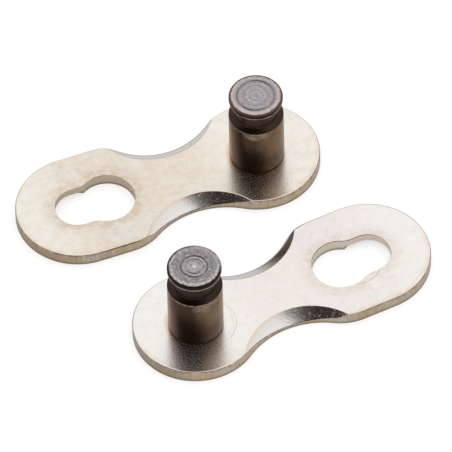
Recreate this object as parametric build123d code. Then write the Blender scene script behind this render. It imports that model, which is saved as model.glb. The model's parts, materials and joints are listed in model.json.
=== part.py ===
"""Quick connecting link of a half-inch bicycle chain, opened and lying flat.

The link is two identical halves. Each half is a stamped steel plate with one hardened pin
riveted into it: the pin's end is turned down to a tenon, so that its body seats on the plate.
The pin of one half slides into the keyhole slot of the other.

Every half is drawn in its own frame first: pin axis on Z, slot towards +X, outer face of
the plate on Z = 0 and the pin standing up from the inner face.
"""
from build123d import *
from math import sqrt
import os

# ---- driving dimensions, millimetres -------------------------------------------------

PITCH = 12.7                # pin axis to seat axis, the half-inch pitch of the chain

# plate outline
PLATE_THICKNESS = 0.9
END_RADIUS = 4.2            # half the plate's height, at both ends
SLOT_END_X = 12.65          # centre of the slot end's arc, just short of the seat axis
WAIST_HALF_HEIGHT = 2.65    # at the narrowest place between the ends
WAIST_RADIUS = 5.5
SHOULDER_RADIUS = 3.5       # where the waist runs out into the slot end
EDGE_ROUNDING = 0.1         # die roll along the inner face's edge

# conical bevel along each side of the waist, sloping down from the inner face
BEVEL_AXIS_X = 5.43         # the forming cone stands upright on this axis
BEVEL_AXIS_Y = 6.08
BEVEL_CREST_RADIUS = 4.34   # of the arc in which the bevel leaves the inner face
BEVEL_LAND = 0.27           # upright edge left below the bevel at the waist's narrowest
BEVEL_OVERRUN = 0.25        # how far the cone reaches past the bevel's two edges

# keyhole slot
SEAT_RADIUS = 1.52          # closes round the neck of the other half's pin
SEAT_WALL = 0.56            # thickness left under the counterbore
COUNTERBORE_RADIUS = 1.87   # takes the head of the other half's pin
ENTRY_RADIUS = 1.92         # lets that head through
ENTRY_TO_SEAT = 2.04        # between the two axes
THROAT_RADIUS = 1.15        # rounding where the entry narrows to the seat
LEAD_IN_RADIUS = 1.71       # very shallow dished relief on one side of the throat
LEAD_IN_DEPTH = 0.06
LEAD_IN_DRAFT = 0.5         # how much smaller its radius is at the bottom
LEAD_IN_BACK = 1.16         # from the seat axis back towards the entry
LEAD_IN_ASIDE = 0.4         # off the plate's centre line

# pin
BODY_RADIUS = 1.83          # the roller chain's inner link turns on this
BODY_LENGTH = 4.1           # inner face to the start of the shoulder
BODY_EDGE_BREAK = 0.07      # round the foot of the body, where it seats on the plate
SHOULDER_HEIGHT = 0.24      # cone between body and neck
NECK_RADIUS = 1.45
HEAD_RADIUS = 1.8
HEAD_THICKNESS = 0.4
HEAD_ROUNDING = 0.13
HEAD_EDGE_BREAK = 0.04      # under the head
PIN_STAND = 6.0             # inner face to the top of the head
TENON_RADIUS = 1.6          # turned-down end that goes through the plate
RIVET_FLARE = 0.16          # tenon's end spread into the plate's outer countersink
RIVET_DIMPLE_RADIUS = 1.05
RIVET_DIMPLE_DEPTH = 0.1

# turned rings on the pin heads: radius of each groove
FRONT_HEAD_RINGS = (0.6, 0.87)
REAR_HEAD_RINGS = (1.25,)
RING_HALF_WIDTH = 0.05
RING_DEPTH = 0.04

# where the two halves lie: pin axis and turn about Z, with the origin under the middle
FRONT_PIN_AT = (-5.03, -6.14)
FRONT_TURN = 0.0
REAR_PIN_AT = (4.96, 4.84)
REAR_TURN = 174.1

SELECT_MARGIN = 0.01        # how near an outline's corner lies to the place it is picked by


# ---- plate ---------------------------------------------------------------------------

WAIST_Y = WAIST_HALF_HEIGHT + WAIST_RADIUS
WAIST_X = sqrt((END_RADIUS + WAIST_RADIUS) ** 2 - WAIST_Y ** 2)   # tangent to the pin end
ENTRY_X = PITCH - ENTRY_TO_SEAT


def corners_at(outline, x):
    """The pair of an outline's corners that lie at this x, one on each side of the plate."""
    return outline.vertices().filter_by_position(Axis.X, x - SELECT_MARGIN, x + SELECT_MARGIN)


def plate_outline():
    """Round pin end, waist drawn in by two arcs, and a slot end with straight sides."""
    blend = END_RADIUS / (END_RADIUS + WAIST_RADIUS)
    blend_x, blend_y = WAIST_X * blend, WAIST_Y * blend
    run_out_x = WAIST_X + sqrt(WAIST_RADIUS ** 2 - (WAIST_Y - END_RADIUS) ** 2)
    waist_bottom = WAIST_HALF_HEIGHT
    slot_tip_x = SLOT_END_X + END_RADIUS
    edges = [
        ThreePointArc((blend_x, blend_y), (-END_RADIUS, 0), (blend_x, -blend_y)),
        ThreePointArc((blend_x, -blend_y), (WAIST_X, -waist_bottom), (run_out_x, -END_RADIUS)),
        Line((run_out_x, -END_RADIUS), (SLOT_END_X, -END_RADIUS)),
        ThreePointArc((SLOT_END_X, -END_RADIUS), (slot_tip_x, 0), (SLOT_END_X, END_RADIUS)),
        Line((SLOT_END_X, END_RADIUS), (run_out_x, END_RADIUS)),
        ThreePointArc((run_out_x, END_RADIUS), (WAIST_X, waist_bottom), (blend_x, blend_y)),
    ]
    outline = make_face(edges)
    return fillet(corners_at(outline, run_out_x), SHOULDER_RADIUS)


def bevel_tool(side):
    """Upright cone that forms one bevel; side is +1 or -1 for the plate's two flanks."""
    waist_reach = BEVEL_AXIS_Y - WAIST_HALF_HEIGHT
    rise = PLATE_THICKNESS - BEVEL_LAND
    spread = (BEVEL_CREST_RADIUS - waist_reach) * BEVEL_OVERRUN / rise
    middle = (PLATE_THICKNESS + BEVEL_LAND) / 2
    return Pos(BEVEL_AXIS_X, side * BEVEL_AXIS_Y, middle) * Cone(
        waist_reach - spread, BEVEL_CREST_RADIUS + spread, rise + 2 * BEVEL_OVERRUN
    )


def keyhole():
    """Slot that takes the other half's pin: wide entry, narrow seat, counterbored behind."""
    entry = Pos(ENTRY_X, 0) * Circle(ENTRY_RADIUS)
    seat = Pos(PITCH, 0) * Circle(SEAT_RADIUS)
    throat = Pos(PITCH - ENTRY_TO_SEAT / 2, 0) * Rectangle(ENTRY_TO_SEAT, 2 * SEAT_RADIUS)
    opening = entry + seat + throat
    throat_x = ENTRY_X + sqrt(ENTRY_RADIUS ** 2 - SEAT_RADIUS ** 2)
    opening = fillet(corners_at(opening, throat_x), THROAT_RADIUS)

    counterbore_depth = PLATE_THICKNESS - SEAT_WALL
    through_seat = Pos(0, 0, counterbore_depth) * extrude(opening, SEAT_WALL)
    through_entry = extrude(entry, PLATE_THICKNESS)
    counterbore = extrude(Pos(PITCH, 0) * Circle(COUNTERBORE_RADIUS), counterbore_depth)
    lead_in = Pos(PITCH - LEAD_IN_BACK, -LEAD_IN_ASIDE, PLATE_THICKNESS - LEAD_IN_DEPTH / 2) * Cone(
        LEAD_IN_RADIUS - LEAD_IN_DRAFT, LEAD_IN_RADIUS, LEAD_IN_DEPTH
    )
    return through_seat + through_entry + counterbore + lead_in


def pin_hole():
    """Hole for the pin's tenon, countersunk on the outer face for the riveting."""
    profile = Polyline(
        (0, 0),
        (TENON_RADIUS + RIVET_FLARE, 0),
        (TENON_RADIUS, RIVET_FLARE),
        (TENON_RADIUS, PLATE_THICKNESS),
        (0, PLATE_THICKNESS),
        close=True,
    )
    return revolve(Plane.XZ * make_face(profile), Axis.Z)


def make_plate():
    blank = extrude(plate_outline(), PLATE_THICKNESS)
    inner_edges = blank.faces().sort_by(Axis.Z)[-1].edges()
    plate = fillet(inner_edges, EDGE_ROUNDING)
    for side in (1, -1):
        plate -= bevel_tool(side)
    return plate - keyhole() - pin_hole()


# ---- pin -----------------------------------------------------------------------------

def make_pin(head_rings):
    """Turned pin, riveted tenon at Z = 0; head_rings are the radii of the grooves in its head."""
    shoulder = PLATE_THICKNESS + BODY_LENGTH
    top = PLATE_THICKNESS + PIN_STAND
    head_bottom = top - HEAD_THICKNESS
    flank = Polyline(
        (0, RIVET_DIMPLE_DEPTH),
        (RIVET_DIMPLE_RADIUS, 0),
        (TENON_RADIUS + RIVET_FLARE, 0),
        (TENON_RADIUS, RIVET_FLARE),
        (TENON_RADIUS, PLATE_THICKNESS),
        (BODY_RADIUS - BODY_EDGE_BREAK, PLATE_THICKNESS),
        (BODY_RADIUS, PLATE_THICKNESS + BODY_EDGE_BREAK),
        (BODY_RADIUS, shoulder),
        (NECK_RADIUS, shoulder + SHOULDER_HEIGHT),
        (NECK_RADIUS, head_bottom),
        (HEAD_RADIUS - HEAD_EDGE_BREAK, head_bottom),
        (HEAD_RADIUS, head_bottom + HEAD_EDGE_BREAK),
        (HEAD_RADIUS, top - HEAD_ROUNDING),
    )
    crown = RadiusArc(flank @ 1, (HEAD_RADIUS - HEAD_ROUNDING, top), -HEAD_ROUNDING)
    face = Polyline(crown @ 1, (0, top), (0, RIVET_DIMPLE_DEPTH))
    pin = revolve(Plane.XZ * make_face([flank, crown, face]), Axis.Z)
    for radius in head_rings:
        groove = Polyline(
            (radius - RING_HALF_WIDTH, top),
            (radius, top - RING_DEPTH),
            (radius + RING_HALF_WIDTH, top),
            close=True,
        )
        pin -= revolve(Plane.XZ * make_face(groove), Axis.Z)
    return pin


# ---- the link ------------------------------------------------------------------------

HALVES = {
    "front": (FRONT_PIN_AT, FRONT_TURN, FRONT_HEAD_RINGS),
    "rear": (REAR_PIN_AT, REAR_TURN, REAR_HEAD_RINGS),
}

os.makedirs("parts", exist_ok=True)
for half, (pin_at, turn, head_rings) in HALVES.items():
    place = Pos(*pin_at, 0) * Rot(0, 0, turn)
    export_step(place * make_plate(), f"parts/{half}_plate.step")
    export_step(place * make_pin(head_rings), f"parts/{half}_pin.step")
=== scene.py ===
import json
from math import acos, atan2, ceil, cos, degrees, pi, radians, sin, sqrt, tan
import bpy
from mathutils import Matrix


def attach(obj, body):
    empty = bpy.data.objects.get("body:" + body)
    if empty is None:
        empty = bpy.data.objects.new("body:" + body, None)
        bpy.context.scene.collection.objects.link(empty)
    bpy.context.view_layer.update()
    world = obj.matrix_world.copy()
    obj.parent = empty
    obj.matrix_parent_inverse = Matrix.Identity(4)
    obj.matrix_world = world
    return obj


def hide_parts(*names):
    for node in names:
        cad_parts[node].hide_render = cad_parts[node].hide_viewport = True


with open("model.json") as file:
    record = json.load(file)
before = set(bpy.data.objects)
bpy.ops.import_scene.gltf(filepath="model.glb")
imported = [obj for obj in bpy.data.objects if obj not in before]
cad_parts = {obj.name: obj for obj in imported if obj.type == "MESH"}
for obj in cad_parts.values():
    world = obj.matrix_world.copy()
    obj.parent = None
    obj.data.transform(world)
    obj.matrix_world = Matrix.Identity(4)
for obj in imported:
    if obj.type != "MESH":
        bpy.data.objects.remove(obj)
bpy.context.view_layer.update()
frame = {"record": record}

from types import SimpleNamespace

import bpy
import numpy as np
from mathutils import Matrix, Vector
from mathutils.geometry import delaunay_2d_cdt
from mathutils.kdtree import KDTree

# ---- Plates -----------------------------------------------------------------------------
# The halves' two plates are alike: blanked from steel with a keyhole slot, pressed with a
# conical bevel on each flank of the waist, and nickel plated. Sizes are in millimetres, in a
# half's own frame: pin axis at the origin, slot towards +X, outer face at height 0.
MM = 0.001
PITCH = 12.7
PLATE_THICKNESS = 0.9
END_RADIUS = 4.2
SLOT_END_X = 12.65
WAIST_HALF_HEIGHT = 2.65
WAIST_RADIUS = 5.5
SHOULDER_RADIUS = 3.5
EDGE_ROUNDING = 0.1
LOWER_EDGE_BREAK = 0.03
WAIST_Y = WAIST_HALF_HEIGHT + WAIST_RADIUS
WAIST_X = sqrt((END_RADIUS + WAIST_RADIUS) ** 2 - WAIST_Y ** 2)

# bevels, each a cone on an upright axis, slightly hollow across
BEVEL_AXIS_X, BEVEL_AXIS_Y = 5.43, 6.08
BEVEL_CREST_RADIUS = 4.34
BEVEL_WIDTH = 0.91
CREST_SLOPE, FOOT_SLOPE = 0.8, 0.584
BEVEL_EDGE_ROUNDING = 0.03
CREST_BLEND = 0.02

# keyhole slot, and the shallow dished relief beside its seat
SEAT_RADIUS = 1.52
SEAT_WALL = 0.56
COUNTERBORE_RADIUS = 1.87
ENTRY_RADIUS = 1.92
ENTRY_TO_SEAT = 2.04
ENTRY_X = PITCH - ENTRY_TO_SEAT
THROAT_RADIUS = 1.15
SLOT_EDGE_ROUNDING = 0.04
RELIEF_BACK = 1.16          # from the seat's middle back towards the entry
RELIEF_X, RELIEF_Y = PITCH - RELIEF_BACK, -0.4
RELIEF_RADIUS, RELIEF_FLOOR_RADIUS = 1.71, 1.21
RELIEF_DEPTH = 0.06

# hole for the pin's tenon, countersunk on the outer face
TENON_RADIUS = 1.6
RIVET_FLARE = 0.16

# how finely the plate is divided, and how near its points may lie to those already set
FACET, FLAT_FACET, BEVEL_FACET, CREST_FACET, RELIEF_FACET = 0.12, 0.35, 0.13, 0.08, 0.06
FLAT_GAP, BEVEL_GAP, RING_GAP = 0.15, 0.05, 0.02
CREST_ROWS = (0, 0.02, -0.02, 0.05, -0.05)
RELIEF_ROWS = (0, 0.03, -0.03)
ROUNDING_TURNS = (22.5, 45, 67.5, 90)
KEEP_WITHIN_RIMS, SAME_POINT = 1, 1e-6
FAR = END_RADIUS            # further from a wall than any rounding reaches


def bend(centre, radius, start, end):
    """An arc's points and outward directions, with metal on the left of the way it runs."""
    count = ceil(radius * abs(radians(end - start)) / FACET)
    angle = np.radians(np.linspace(start, end, count, endpoint=False))
    spokes = np.c_[np.cos(angle), np.sin(angle)]
    return np.array(centre) + radius * spokes, spokes * np.sign(end - start)


def straight(start, end):
    """A straight run's points and outward directions."""
    start, end = np.array(start), np.array(end)
    length = np.linalg.norm(end - start)
    share = np.linspace(0, 1, ceil(length / FACET), endpoint=False)[:, None]
    way = (end - start) / length
    return start + (end - start) * share, np.tile([way[1], -way[0]], (len(share), 1))


def chain_up(*stretches):
    """One run of points and outward directions from several."""
    return np.concatenate([s[0] for s in stretches]), np.concatenate([s[1] for s in stretches])


def plate_edge():
    """Round pin end, waist, shoulders and slot end, counterclockwise."""
    neck = degrees(atan2(WAIST_Y, WAIST_X))
    shoulder_y = END_RADIUS - SHOULDER_RADIUS
    reach = WAIST_RADIUS + SHOULDER_RADIUS
    shoulder_x = WAIST_X + sqrt(reach ** 2 - (WAIST_Y - shoulder_y) ** 2)
    meet = degrees(atan2(WAIST_Y - shoulder_y, shoulder_x - WAIST_X))
    return chain_up(
        bend((0, 0), END_RADIUS, neck, 360 - neck),
        bend((WAIST_X, -WAIST_Y), WAIST_RADIUS, 180 - neck, meet),
        bend((shoulder_x, -shoulder_y), SHOULDER_RADIUS, 180 + meet, 270),
        straight((shoulder_x, -END_RADIUS), (SLOT_END_X, -END_RADIUS)),
        bend((SLOT_END_X, 0), END_RADIUS, -90, 90),
        straight((SLOT_END_X, END_RADIUS), (shoulder_x, END_RADIUS)),
        bend((shoulder_x, shoulder_y), SHOULDER_RADIUS, 90, 180 - meet),
        bend((WAIST_X, WAIST_Y), WAIST_RADIUS, 360 - meet, 180 + neck),
    )


def slot_edges():
    """The keyhole's edge through the seat wall and its edge below, both clockwise."""
    throat_y = SEAT_RADIUS + THROAT_RADIUS
    throat_x = ENTRY_X + sqrt((ENTRY_RADIUS + THROAT_RADIUS) ** 2 - throat_y ** 2)
    wide = degrees(atan2(throat_y, throat_x - ENTRY_X))
    # where the counterbore crosses the throat's rounding
    aim = Vector((PITCH - throat_x, -throat_y))
    foot = (aim.length ** 2 + THROAT_RADIUS ** 2 - COUNTERBORE_RADIUS ** 2) / (2 * aim.length)
    swing = degrees(acos(foot / THROAT_RADIUS))
    cross = 360 + degrees(atan2(aim.y, aim.x)) - swing
    cross_x = throat_x + THROAT_RADIUS * cos(radians(cross))
    cross_y = throat_y + THROAT_RADIUS * sin(radians(cross))
    cross_out = degrees(atan2(cross_y, cross_x - PITCH))
    # where the counterbore meets the entry in a cusp
    gap = PITCH - ENTRY_X
    cusp_x = (gap ** 2 + ENTRY_RADIUS ** 2 - COUNTERBORE_RADIUS ** 2) / (2 * gap)
    cusp = degrees(acos(cusp_x / ENTRY_RADIUS))
    cusp_out = degrees(atan2(ENTRY_RADIUS * sin(radians(cusp)), cusp_x - gap))
    entry = bend((ENTRY_X, 0), ENTRY_RADIUS, 360 - wide, wide)
    upper = chain_up(
        bend((PITCH, 0), SEAT_RADIUS, 90, -90),
        straight((PITCH, -SEAT_RADIUS), (throat_x, -SEAT_RADIUS)),
        bend((throat_x, -throat_y), THROAT_RADIUS, 90, 360 - cross),
        bend((throat_x, -throat_y), THROAT_RADIUS, 360 - cross, 180 - wide),
        entry,
        bend((throat_x, throat_y), THROAT_RADIUS, 180 + wide, cross),
        bend((throat_x, throat_y), THROAT_RADIUS, cross, 270),
        straight((throat_x, SEAT_RADIUS), (PITCH, SEAT_RADIUS)),
    )
    lower = chain_up(
        bend((PITCH, 0), COUNTERBORE_RADIUS, cusp_out, cross_out),
        bend((PITCH, 0), COUNTERBORE_RADIUS, cross_out, -cross_out),
        bend((PITCH, 0), COUNTERBORE_RADIUS, -cross_out, -cusp_out),
        bend((ENTRY_X, 0), ENTRY_RADIUS, 360 - cusp, 360 - wide),
        entry,
        bend((ENTRY_X, 0), ENTRY_RADIUS, wide, cusp),
    )
    return upper, lower


def ring(centre, radius, step):
    """Points round a circle, counterclockwise and about a step apart."""
    count = ceil(2 * pi * radius / step)
    angle = np.linspace(0, 2 * pi, count, endpoint=False)
    return np.array(centre) + radius * np.c_[np.cos(angle), np.sin(angle)]


def honeycomb(low, high, step):
    """Evenly spread points over a rectangle, every other row shifted by half a step."""
    rows = np.arange(low[1], high[1], step * sqrt(3) / 2)
    return np.array([
        (x, y) for i, y in enumerate(rows)
        for x in np.arange(low[0] + (i % 2) * step / 2, high[0], step)
    ])


def thinned(points, kept, gap):
    """The points that are further than gap from all the kept ones."""
    tree = KDTree(len(kept))
    for i, p in enumerate(kept):
        tree.insert((*p, 0), i)
    tree.balance()
    return np.array([p for p in points if tree.find((*p, 0))[2] > gap]).reshape(-1, 2)


def inside(points, *loops):
    """Which points an odd number of the loops goes round."""
    found = np.zeros(len(points), bool)
    x, y = points[:, 0, None], points[:, 1, None]
    for loop in loops:
        x0, y0 = loop.T
        x1, y1 = np.roll(loop, -1, axis=0).T
        spans = (y0 > y) != (y1 > y)
        rise = np.where(y1 == y0, 1.0, y1 - y0)
        found ^= (spans & (x < x0 + (y - y0) * (x1 - x0) / rise)).sum(axis=1) % 2 == 1
    return found


def spread(loops, loose=()):
    """Triangles over the plan between the loops, with the loose points taken in."""
    plan = np.concatenate([*loops, *loose])
    rims, first = [], 0
    for loop in loops:
        rims += [(first + i, first + (i + 1) % len(loop)) for i in range(len(loop))]
        first += len(loop)
    corners = [Vector(p) for p in plan]
    made = delaunay_2d_cdt(corners, rims, [], KEEP_WITHIN_RIMS, SAME_POINT, True)
    source = [ids[0] for ids in made[3]]
    triangles = np.array([[source[i] for i in face] for face in made[2]])
    middles = plan[triangles].mean(axis=1)
    return plan, triangles[inside(middles, *loops)]


def rounding_drop(radius, distance):
    """How far a rounded edge has fallen below the face at this distance from its wall."""
    left = np.clip(radius - distance, 0, radius)
    return radius - np.sqrt(radius ** 2 - left ** 2)


def softer_minimum(a, b, blend):
    """The lower of two heights, rounded over where they come within the blend."""
    near = np.clip(1 - np.abs(a - b) / blend, 0, 1)
    return np.minimum(a, b) - near ** 2 * blend / 4


def bevel_height(plan):
    """Height of the bevels over the plan: steep at the crest, easing towards the foot."""
    away = np.hypot(plan[:, 0] - BEVEL_AXIS_X, np.abs(plan[:, 1]) - BEVEL_AXIS_Y)
    down = BEVEL_CREST_RADIUS - away
    ease = (CREST_SLOPE - FOOT_SLOPE) / 2 / BEVEL_WIDTH * np.clip(down, 0, None) ** 2
    return PLATE_THICKNESS - down * CREST_SLOPE + ease


def inner_face_height(plan, from_outline, from_slot):
    """Height of the inner face, with its rounded edges, its bevels and its dished relief."""
    flat = PLATE_THICKNESS - rounding_drop(EDGE_ROUNDING, from_outline)
    bevel = bevel_height(plan) - rounding_drop(BEVEL_EDGE_ROUNDING, from_outline)
    height = softer_minimum(flat, bevel, CREST_BLEND)
    away = np.hypot(plan[:, 0] - RELIEF_X, plan[:, 1] - RELIEF_Y)
    climb = (away - RELIEF_FLOOR_RADIUS) / (RELIEF_RADIUS - RELIEF_FLOOR_RADIUS)
    relief = PLATE_THICKNESS - RELIEF_DEPTH * (1 - np.clip(climb, 0, None))
    dished = softer_minimum(height, relief, CREST_BLEND)
    height = np.where(away < RELIEF_RADIUS + CREST_BLEND, dished, height)
    return height - rounding_drop(SLOT_EDGE_ROUNDING, from_slot)


def loose_points():
    """Points on the inner face away from its edges, each set with the gap it keeps."""
    for side in (1, -1):
        for offset in CREST_ROWS:
            axis = (BEVEL_AXIS_X, side * BEVEL_AXIS_Y)
            yield ring(axis, BEVEL_CREST_RADIUS + offset, CREST_FACET), RING_GAP
    for radius in (RELIEF_RADIUS, RELIEF_FLOOR_RADIUS):
        for offset in RELIEF_ROWS:
            yield ring((RELIEF_X, RELIEF_Y), radius + offset, RELIEF_FACET), RING_GAP
    fine = honeycomb((0, -END_RADIUS), (PITCH, END_RADIUS), BEVEL_FACET)
    yield fine[bevel_height(fine) < PLATE_THICKNESS], BEVEL_GAP
    ends = (-END_RADIUS, -END_RADIUS), (PITCH + END_RADIUS, END_RADIUS)
    yield honeycomb(*ends, FLAT_FACET), FLAT_GAP


def inner_face_rows(outline, slot, hole):
    """The inner face's points, in rows with their distances from outline and slot wall."""
    rows = [(outline[0], 0.0, FAR), (slot[0], FAR, 0.0), (hole, FAR, FAR)]
    for (edge, out), radius in ((outline, EDGE_ROUNDING), (slot, SLOT_EDGE_ROUNDING)):
        insets = [radius * (1 - cos(radians(turn))) for turn in ROUNDING_TURNS]
        for inset in (*insets, 2 * radius):
            distances = (inset, FAR) if edge is outline[0] else (FAR, inset)
            rows.append((edge - out * inset, *distances))
    for loose, gap in loose_points():
        loose = loose[inside(loose, outline[0], slot[0], hole)]
        kept = np.concatenate([row[0] for row in rows])
        rows.append((thinned(loose, kept, gap), FAR, FAR))
    return rows


def sheet(mesh, plan, height, triangles):
    """Adds the triangles over the plan to the mesh, at one height or at each point's own."""
    points, faces = mesh
    first = len(points)
    points += [(*p, h) for p, h in zip(plan, np.broadcast_to(height, len(plan)))]
    faces += [tuple(first + i for i in triangle) for triangle in triangles]


def wall(mesh, loop, top, foot_loop, foot):
    """Adds quads down from a loop to one of as many points, metal on the loops' left."""
    points, faces = mesh
    first, count = len(points), len(loop)
    for rim, height in ((loop, top), (foot_loop, foot)):
        points += [(*p, h) for p, h in zip(rim, np.broadcast_to(height, count))]
    for i in range(count):
        j = (i + 1) % count
        faces.append((first + i, first + count + i, first + count + j, first + j))


def plate_mesh():
    """Points and faces of a whole plate."""
    outline, (upper_slot, lower_slot) = plate_edge(), slot_edges()
    (outer, outer_out), upper, lower = outline, upper_slot[0], lower_slot[0]
    hole = ring((0, 0), TENON_RADIUS, FACET)[::-1]
    mesh = [], []

    rows = inner_face_rows(outline, upper_slot, hole)
    plan, triangles = spread([outer, upper, hole], [row[0] for row in rows[3:]])
    from_outline, from_slot = (
        np.concatenate([np.full(len(row[0]), row[k]) for row in rows]) for k in (1, 2))
    height = inner_face_height(plan, from_outline, from_slot)
    sheet(mesh, plan, height, triangles)

    foot = outer - outer_out * LOWER_EDGE_BREAK
    wall(mesh, outer, height[:len(outer)], outer, LOWER_EDGE_BREAK)
    wall(mesh, outer, LOWER_EDGE_BREAK, foot, 0.0)

    # slot walls above and below the counterbore's ledge, and the ledge between them
    ledge = PLATE_THICKNESS - SEAT_WALL
    wall(mesh, upper, height[len(outer):len(outer) + len(upper)], upper, ledge)
    wall(mesh, lower, ledge, lower, 0.0)
    plan, triangles = spread([upper, lower])
    looks_down = inside(plan[triangles].mean(axis=1), lower)[:, None]
    sheet(mesh, plan, ledge, np.where(looks_down, triangles[:, ::-1], triangles))

    flare = hole * (TENON_RADIUS + RIVET_FLARE) / TENON_RADIUS
    wall(mesh, hole, PLATE_THICKNESS, hole, RIVET_FLARE)
    wall(mesh, hole, RIVET_FLARE, flare, 0.0)

    plan, triangles = spread([foot, lower, flare])
    sheet(mesh, plan, 0.0, triangles[:, ::-1])
    return mesh


class Nodes:
    """Wires up one shader tree. What feeds an input is a value or another node's output."""

    def __init__(self, tree):
        self.tree = tree

    def feed(self, socket, source):
        """Links or sets one input socket."""
        if isinstance(source, bpy.types.NodeSocket):
            self.tree.links.new(source, socket)
        else:
            socket.default_value = source

    def add(self, kind, settings=None, **inputs):
        """Adds a node. Each input goes by its name, or by its number as i0, i1 and so on."""
        node = self.tree.nodes.new(kind)
        for setting, value in (settings or {}).items():
            setattr(node, setting, value)
        for key, source in inputs.items():
            by_number = key[0] == "i" and key[1:].isdigit()
            self.feed(node.inputs[int(key[1:]) if by_number else key.replace("_", " ")], source)
        return node

    def effect(self, group, **inputs):
        """Places a shared effect, and gives its outputs by name."""
        return self.add("ShaderNodeGroup", {"node_tree": group}, **inputs).outputs

    def reckon(self, operation, a, b=0.0):
        return self.add("ShaderNodeMath", {"operation": operation}, i0=a, i1=b).outputs[0]

    def plus(self, a, b):
        return self.reckon("ADD", a, b)

    def minus(self, a, b):
        return self.reckon("SUBTRACT", a, b)

    def times(self, product, *factors):
        for factor in factors:
            product = self.reckon("MULTIPLY", product, factor)
        return product

    def vector(self, operation, a, b):
        """Vector arithmetic; a distance or a dot product comes out as a number."""
        node = self.add("ShaderNodeVectorMath", {"operation": operation}, i0=a, i1=b)
        return node.outputs["Value" if operation in ("DISTANCE", "DOT_PRODUCT") else "Vector"]

    def split(self, vector):
        return self.add("ShaderNodeSeparateXYZ", Vector=vector).outputs

    def join(self, x, y, z=0.0):
        return self.add("ShaderNodeCombineXYZ", X=x, Y=y, Z=z).outputs[0]

    def fade(self, value, low, high, start=0.0, end=1.0):
        """Goes smoothly from start to end while the value goes from low to high."""
        smooth = {"interpolation_type": "SMOOTHSTEP"}
        return self.add("ShaderNodeMapRange", smooth, Value=value, From_Min=low, From_Max=high,
                        To_Min=start, To_Max=end).outputs[0]

    def tinted(self, amount, colour, over):
        """The colour laid over another one, by an amount from 0 to 1."""
        colours = {"data_type": "RGBA"}
        return self.add("ShaderNodeMix", colours, i0=amount, i6=over, i7=colour).outputs[2]

    def noise(self, place, scale, detail, roughness=0.5):
        return self.add("ShaderNodeTexNoise", Vector=place, Scale=scale, Detail=detail,
                        Roughness=roughness).outputs[0]

    def bump(self, height, depth, strength, **normal):
        """The surface's normal over a relief of this depth in millimetres."""
        return self.add("ShaderNodeBump", Height=height, Distance=depth * MM,
                        Strength=strength, **normal).outputs[0]


NUMBER, VECTOR, COLOUR = "NodeSocketFloat", "NodeSocketVector", "NodeSocketColor"


def effect_group(name, given, made):
    """An empty shader node group; each dict lists its sockets' names by their kind."""
    group = bpy.data.node_groups.new(name, "ShaderNodeTree")
    for in_out, sockets in (("INPUT", given), ("OUTPUT", made)):
        for kind, labels in sockets.items():
            for label in labels:
                group.interface.new_socket(label, in_out=in_out, socket_type=kind)
    nodes = Nodes(group)
    return nodes, nodes.add("NodeGroupInput").outputs, nodes.add("NodeGroupOutput").inputs


def rgb(red, green, blue):
    """An eye's colour from 0 to 255 as the light that it stands for."""
    shares = [c / 255 for c in (red, green, blue)]
    light = [((c + 0.055) / 1.055) ** 2.4 if c > 0.04045 else c / 12.92 for c in shares]
    return (*light, 1.0)


def tumbled_grain():
    """Fine pits with broader ones below, and bright speckles; Grain is the fine ones' size."""
    nodes, given, made = effect_group(
        "tumbled_grain", {VECTOR: ["Place"], NUMBER: ["Grain"]}, {NUMBER: ["Relief", "Speckle"]})
    per_mm = nodes.reckon("DIVIDE", 1.0, given["Grain"])
    fine = nodes.noise(given["Place"], per_mm, 3.0, 0.6)
    broad = nodes.noise(given["Place"], nodes.times(per_mm, 0.3), 2.0)
    nodes.feed(made["Relief"], nodes.plus(fine, nodes.times(broad, 1.5)))
    nodes.feed(made["Speckle"], nodes.fade(fine, 0.35, 0.75))
    return nodes.tree


def stain_mottling():
    """A plain colour with warmer and cooler patches in it."""
    nodes, given, made = effect_group(
        "stain_mottling",
        {VECTOR: ["Place"], NUMBER: ["Patch", "Strength"], COLOUR: ["Plain", "Warm", "Cool"]},
        {COLOUR: ["Colour"]})
    patches = nodes.reckon("DIVIDE", 1.0, given["Patch"])
    elsewhere = nodes.vector("ADD", given["Place"], (31.0, 17.0, 5.0))
    warmer = nodes.fade(nodes.noise(given["Place"], patches, 5.0, 0.65), 0.42, 0.7)
    cooler = nodes.fade(nodes.noise(elsewhere, patches, 5.0, 0.65), 0.45, 0.72)
    colour = given["Plain"]
    for share, tone in ((warmer, given["Warm"]), (cooler, given["Cool"])):
        colour = nodes.tinted(nodes.times(share, given["Strength"]), tone, colour)
    nodes.feed(made["Colour"], colour)
    return nodes.tree


GRAIN, MOTTLING = tumbled_grain(), stain_mottling()

PIN_BODY_RADIUS = 1.83
PLATE_PATCH, PLATE_MOTTLING = 0.9, 0.75         # size of the patches, and how strong they are
SMUDGE, SMUDGE_SLANT, SMUDGE_SQUEEZE = rgb(192, 178, 162), 35, (1.1, 1.7, 1.0)
STREAK_SQUEEZE = (7.0, 7.0, 0.8)
SLOT_TAN, PIN_TAN, EDGE_TAN = rgb(200, 168, 130), rgb(214, 170, 124), rgb(220, 184, 142)
RELIEF_RIM_SHADE, WITNESS_GREY, FAR_RIM_REFLECTION = (
    rgb(150, 148, 144), rgb(150, 140, 132), rgb(158, 164, 170))
BEVEL_FOOT, BEVEL_MIDDLE, BEVEL_CREST = rgb(231, 228, 225), rgb(226, 222, 217), rgb(225, 211, 197)
BEVEL_REFLECTION_BROWN, BEVEL_REFLECTION_SPECK = rgb(66, 54, 44), rgb(84, 58, 44)
EDGE_WARM, EDGE_GREY = rgb(206, 184, 155), rgb(206, 196, 182)
DARK_STREAK, PALE_STREAK, EDGE_SPOT = rgb(142, 122, 92), rgb(232, 226, 216), rgb(104, 80, 54)
SHADED_EDGE_END, EDGE_FOOT_SHADE = rgb(140, 126, 106), rgb(116, 97, 77)
EDGE_GRIME_AND_SHADE, BEVEL_FOOT_SHADE = rgb(112, 88, 68), rgb(96, 74, 56)
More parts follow.
